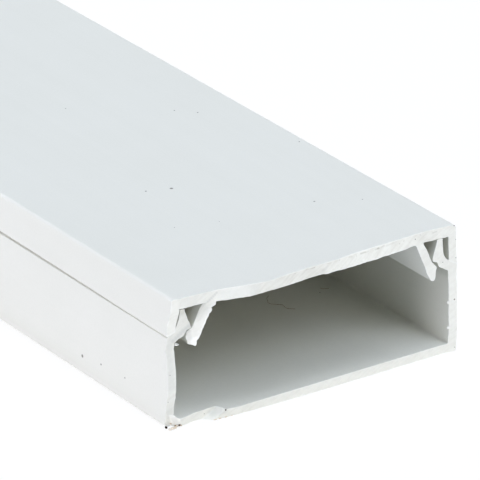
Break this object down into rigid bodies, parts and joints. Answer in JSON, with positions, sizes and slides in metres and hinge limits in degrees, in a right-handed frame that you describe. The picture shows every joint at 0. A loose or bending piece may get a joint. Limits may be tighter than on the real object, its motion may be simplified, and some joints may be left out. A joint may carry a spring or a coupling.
{
  "type": "cable trunking",
  "caption": "White PVC cable trunking: a square-edged channel with barbed rails, and a clip-in lid whose skirts stand flush on its side walls.",
  "frame": {"origin": "centre of the flat back of the channel, halfway along the stick", "axes": "+Y along the stick away from the sawn end in the picture, +X across its width, +Z from the back to the lid"},
  "size_m": [0.04, 2, 0.016],
  "materials": {
    "channel_pvc": "extruded white PVC, satin",
    "lid_pvc": "extruded white PVC, satin"
  },
  "bodies": {
    "base": {"base_channel": "channel_pvc"},
    "lid": {"snap_lid": "lid_pvc"}
  },
  "joints": [
    {"name": "lid_slide", "type": "slide", "parent": "base", "child": "lid", "axis": [0, 1, 0], "range_m": [-2.05, 2.05]}
  ]
}
